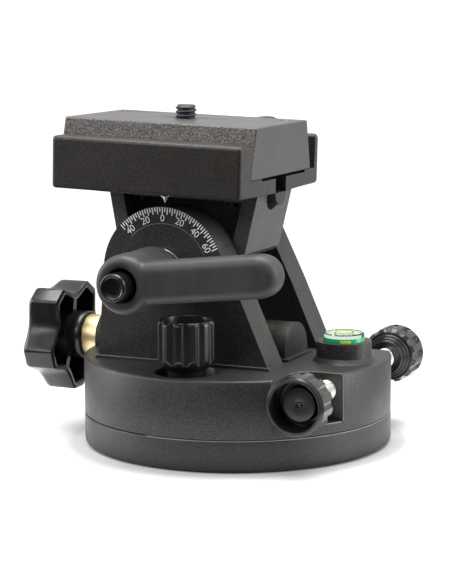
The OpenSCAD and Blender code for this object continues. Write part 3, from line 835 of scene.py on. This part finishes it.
def worn_edges():
    """Painted highlight lines where the arms meet the deck, around the front knob's pocket and on the
    base's rim.
    """
    foot_y, foot_z = 24.8, 26.85
    for side, name in ((-1, "near"), (1, "far")):
        y = side * foot_y
        edge_line(f"foot_line_{name}", [(-34.2, y, foot_z), (20.7, y, foot_z)])
    wall_x, wall_y, top = 41.22, -19.2, 25.95
    edge_line("pocket_floor_edge", on_rim(45.42, 12.42, -48, -26))
    edge_line("pocket_side_edge", [(wall_x, wall_y, 12.6), (wall_x, wall_y, 25.3)], 0.08)
    corner = []
    for i in range(13):
        a = math.pi * i / 24
        corner.append((34.3 - 6.4 * math.sin(a), -26 + 6.4 * math.cos(a), top))
    edge_line("pocket_top_edge", [(40.8, -19.55, top)] + corner)
    edge_line("base_rim_edge", on_rim(45.36, 9.14, -100, 20, 90), 0.1, "base", "powder_coat_base")


worn_edges()


# rounded edges on the CAD nodes -------------------------------------------------------------------


def round_edges(name, width, segments=3, choose=None, edge_highlight=None):
    """Breaks a node's sharp edges, as casting, tumbling and paint do.

    choose picks corners by place; the lighter material given for the broken edges paints a highlight on
    them.
    """
    node = frame["nodes"][name]
    weld = node.modifiers.new("weld", "WELD")
    weld.merge_threshold = 0.002 * MM
    flat = node.modifiers.new("flat", "DECIMATE")
    flat.decimate_type = "DISSOLVE"
    flat.angle_limit = math.radians(0.5)
    bevel = node.modifiers.new("edge", "BEVEL")
    bevel.width = width * MM
    bevel.segments = segments
    bevel.limit_method = "ANGLE"
    bevel.angle_limit = math.radians(30)
    bevel.use_clamp_overlap = choose is None
    bevel.harden_normals = True
    bevel.miter_outer = "MITER_ARC"
    if edge_highlight:
        node.data.materials.append(edge_highlight)
        bevel.material = 1
    if choose:
        corners = node.vertex_groups.new(name="corners")
        corners.add([v.index for v in node.data.vertices if choose(v.co / MM)], 1.0, "REPLACE")
        bevel.limit_method = "VGROUP"
        bevel.vertex_group = "corners"


for name, width in {
    "base_plate": 0.25, "yoke": 0.4,
    "worm_collar": 0.3, "axle_nut": 0.3, "axle_washer": 0.2,
    "lever_insert": 0.25, "clamp_shoe": 0.3, "saddle_screws": 0.2, "level_cup": 0.15, "pivot_bush": 0.3,
}.items():
    round_edges(name, width)

# these nodes' broken edges get the lighter coat, a painted highlight
for name, width in {"turret": 0.4, "arm_near": 0.35, "arm_far": 0.35}.items():
    round_edges(name, width, edge_highlight=COAT_EDGE_HIGHLIGHT)


def saddle_corner(point):
    """Whether a point is on the saddle's outer sides, its jaws' tops or the lower ends."""
    side_y, jaw_top, middle_x, end_x = 28.5, 37.9, -4.3, 30
    x, y, z = HEAD.inverted() @ point
    return abs(y) > side_y or z > jaw_top or (abs(x - middle_x) > end_x and 22.8 < z < 23.0)


def plate_corner(point):
    """Whether a point is on the dovetail plate's long outer edges."""
    return abs(point.y) > 18


round_edges("saddle", 1.2, segments=5, choose=saddle_corner)
round_edges("dovetail_plate", 0.6, segments=4, choose=plate_corner)


# floor, light and camera --------------------------------------------------------------------------


def floor():
    """A white table top, small enough that the fronts of the parts don't mirror it."""
    mesh = bpy.data.meshes.new("floor")
    radius, corners = 0.105, 96
    turns = (2 * math.pi * i / corners for i in range(corners))
    ring = [(radius * math.cos(a), radius * math.sin(a), 0) for a in turns]
    mesh.from_pydata(ring, [], [tuple(range(corners))])
    paint = Paint("floor", (0.56, 0.56, 0.56), 0.75)
    paint.set("Specular IOR Level", 0.2)
    paint.rough(paint.spread(paint.noise(40), 0.3, 0.7, 0.7, 0.8))
    # lit from within towards the rim, like a light table, so that it ends in pure white
    place = paint.nodes.new("ShaderNodeVectorMath")
    place.operation = "LENGTH"
    paint.links.new(paint.place, place.inputs[0])
    glow_start, glow_end = 0.049, 0.061
    glow = paint.spread(place.outputs["Value"], glow_start, glow_end, 0.02, 0.8)
    paint.set("Emission Color", (1, 1, 1, 1))
    paint.links.new(glow, paint.shader.inputs["Emission Strength"])
    mesh.materials.append(paint.material)
    piece = bpy.data.objects.new("floor", mesh)
    bpy.context.scene.collection.objects.link(piece)


def area_light(name, place, aim, width, height, power):
    """A white soft box at place, facing aim. Power is in watts."""
    data = bpy.data.lights.new(name, "AREA")
    data.shape = "RECTANGLE"
    data.size, data.size_y = width, height
    data.energy = power
    lamp = bpy.data.objects.new(name, data)
    lamp.location = place
    lamp.rotation_euler = (Vector(aim) - Vector(place)).to_track_quat("-Z", "Y").to_euler()
    bpy.context.scene.collection.objects.link(lamp)


def studio():
    """A white room behind and above, dark in front, with four soft boxes. The camera sees plain white."""
    world = bpy.data.worlds.new("studio")
    bpy.context.scene.world = world
    world.use_nodes = True
    nodes, links = world.node_tree.nodes, world.node_tree.links
    nodes.clear()
    place = nodes.new("ShaderNodeTexCoord")
    split = nodes.new("ShaderNodeSeparateXYZ")
    links.new(place.outputs["Generated"], split.inputs[0])

    def ramp(source, start, end, at_start, at_end):
        node = nodes.new("ShaderNodeMapRange")
        limits = (start, end, at_start, at_end)
        for socket, number in zip(("From Min", "From Max", "To Min", "To Max"), limits):
            node.inputs[socket].default_value = number
        links.new(source, node.inputs["Value"])
        return node.outputs["Result"]

    def combine(operation, first, second):
        node = nodes.new("ShaderNodeMath")
        node.operation = operation
        links.new(first, node.inputs[0])
        links.new(second, node.inputs[1])
        return node.outputs["Value"]

    behind = ramp(split.outputs["Y"], -0.55, 0.5, 0.0, 0.75)
    above = ramp(split.outputs["Z"], 0.05, 0.6, 0.0, 0.45)
    bright = combine("MAXIMUM", behind, above)
    room = nodes.new("ShaderNodeBackground")
    room.inputs["Color"].default_value = (1, 1, 1, 1)
    links.new(combine("ADD", bright, ramp(split.outputs["Z"], -1, 1, 0.03, 0.05)), room.inputs["Strength"])
    seen = nodes.new("ShaderNodeBackground")
    seen.inputs["Color"].default_value = (1, 1, 1, 1)
    seen.inputs["Strength"].default_value = 1.2
    ray = nodes.new("ShaderNodeLightPath")
    mix = nodes.new("ShaderNodeMixShader")
    out = nodes.new("ShaderNodeOutputWorld")
    links.new(ray.outputs["Is Camera Ray"], mix.inputs[0])
    links.new(room.outputs[0], mix.inputs[1])
    links.new(seen.outputs[0], mix.inputs[2])
    links.new(mix.outputs[0], out.inputs[0])
    aim = (0, 0, 0.05)
    area_light("overhead", (-0.05, 0.05, 0.9), aim, 0.8, 0.6, 13.2)
    area_light("right", (0.80, 0.20, 0.30), aim, 0.5, 0.7, 5.6)
    area_light("left", (-0.8, -0.20, 0.30), aim, 0.35, 0.6, 4.4)
    area_light("front", (-0.36, -0.72, 0.50), aim, 0.55, 0.28, 1.9)


def camera():
    """The camera stands a little above the base, to the right of its front."""
    azimuth, elevation, roll = math.radians(24.78), math.radians(8.80), math.radians(-0.341)
    distance = 0.570
    aim = Vector((1.5, -11.2, 45.6)) * MM
    flat = math.cos(elevation)
    look = Vector((-math.sin(azimuth) * flat, math.cos(azimuth) * flat, -math.sin(elevation)))
    right = look.cross(Vector((0, 0, 1))).normalized()
    up = right.cross(look)
    side = right * math.cos(roll) + up * math.sin(roll)
    over = up * math.cos(roll) - right * math.sin(roll)
    data = bpy.data.cameras.new("camera")
    data.lens, data.sensor_width = 121.13, 36.0
    data.clip_start, data.clip_end = 0.01, 20
    view = bpy.data.objects.new("camera", data)
    turn = Matrix((side, over, -look)).transposed().to_4x4()
    view.matrix_world = Matrix.Translation(aim - look * distance) @ turn
    bpy.context.scene.collection.objects.link(view)
    bpy.context.scene.camera = view


floor()
studio()
camera()
bpy.context.scene.view_settings.view_transform = "Standard"
